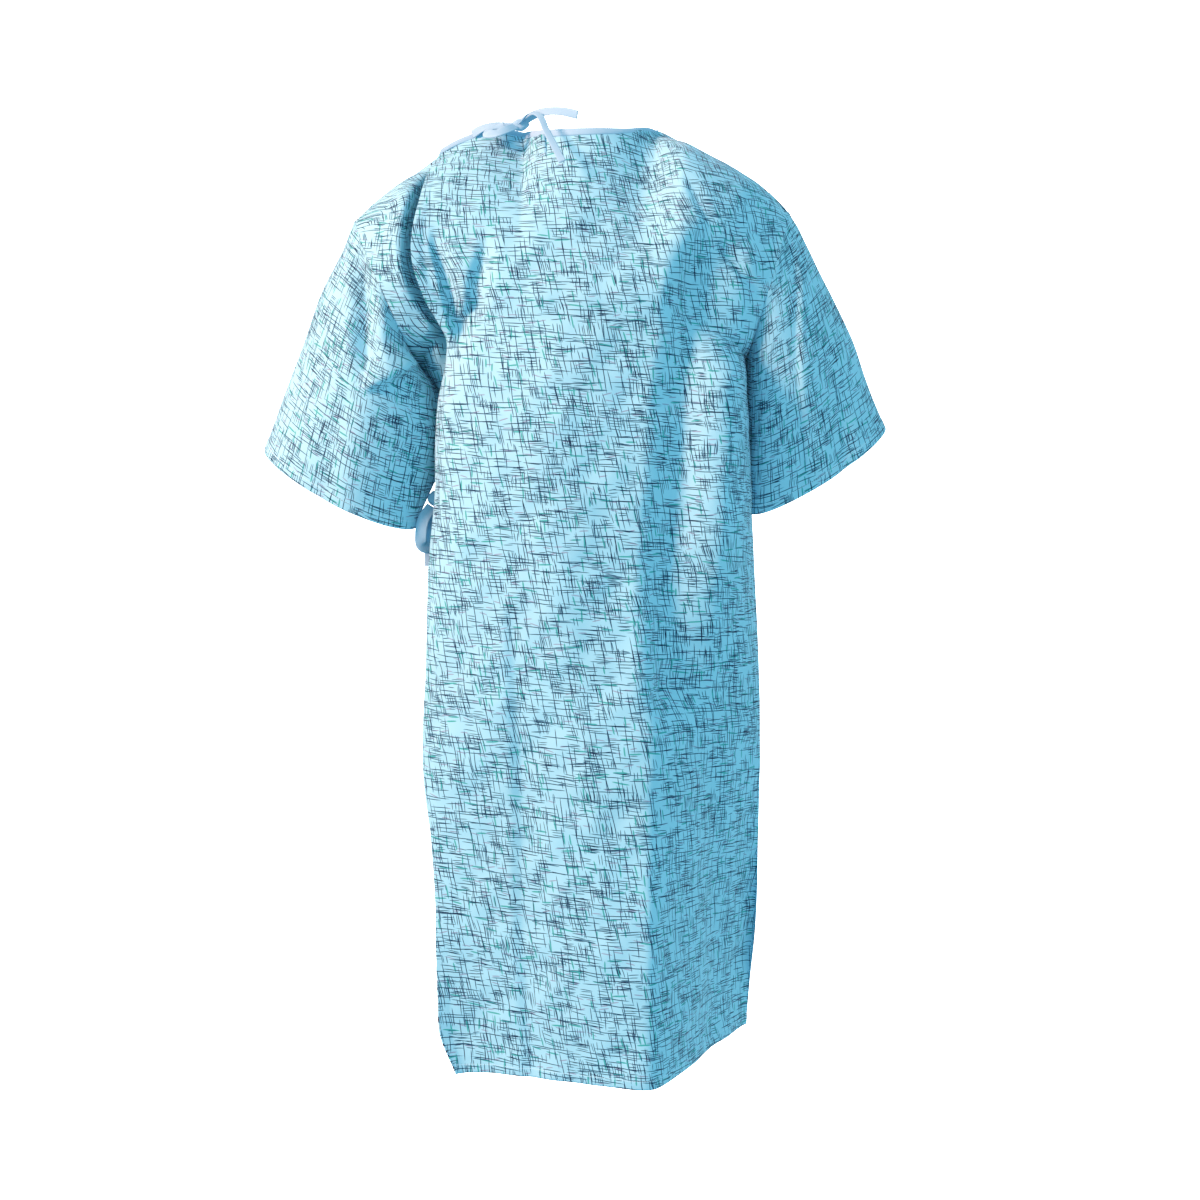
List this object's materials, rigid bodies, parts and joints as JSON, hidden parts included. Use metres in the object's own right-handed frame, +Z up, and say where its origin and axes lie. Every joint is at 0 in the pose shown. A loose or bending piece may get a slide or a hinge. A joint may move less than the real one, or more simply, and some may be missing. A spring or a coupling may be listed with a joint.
{
  "type": "patient gown",
  "caption": "Short-sleeved patient gown, worn open at the back: one back panel wraps right across the other and ties at the neck and the side.",
  "frame": {"origin": "middle of the neck opening, at the height of the back neckline", "axes": "+Z up along the wearer's spine, +Y the way the wearer faces, +X to the wearer's right; the opening back faces -Y"},
  "size_m": [0.8059, 0.3163, 1.2194],
  "materials": {
    "printed_cloth": "matt woven cotton and polyester, light blue with an all-over dark crosshatch print",
    "plain_tape": "matt plain light blue bias tape"
  },
  "bodies": {
    "gown": {"front_panel": "printed_cloth", "back_right_panel": "printed_cloth", "back_under_panel": "printed_cloth", "hem_front": "printed_cloth", "hem_back_right": "printed_cloth", "hem_back_under": "printed_cloth", "under_edge_hem": "printed_cloth", "binding_front": "plain_tape", "binding_under": "plain_tape"},
    "flap": {"back_flap": "printed_cloth", "hem_back_flap": "printed_cloth", "flap_edge_hem": "printed_cloth", "binding_flap": "plain_tape", "neck_tie_shoulder": "plain_tape", "neck_tie_knot": "plain_tape", "neck_tie_loop": "plain_tape", "neck_tie_tail_up": "plain_tape", "neck_tie_tail_down": "plain_tape", "side_tie_knot": "plain_tape", "side_tie_loop": "plain_tape", "side_tie_tail": "plain_tape"},
    "left_sleeve": {"sleeve_left": "printed_cloth", "sleeve_hem_left": "printed_cloth"},
    "right_sleeve": {"sleeve_right": "printed_cloth", "sleeve_hem_right": "printed_cloth"}
  },
  "joints": [
    {"name": "flap_open", "type": "hinge", "parent": "gown", "child": "flap", "pos_m": [0.085, -0.155, -0.575], "axis": [0, 0.0174, 0.9998], "range_deg": [0, 75]},
    {"name": "left_sleeve_raise", "type": "hinge", "parent": "gown", "child": "left_sleeve", "pos_m": [-0.301, 0, -0.108], "axis": [0, 1, 0], "range_deg": [0, 50]},
    {"name": "right_sleeve_raise", "type": "hinge", "parent": "gown", "child": "right_sleeve", "pos_m": [0.2535, 0.01, -0.095], "axis": [0, -1, 0], "range_deg": [0, 50]}
  ]
}
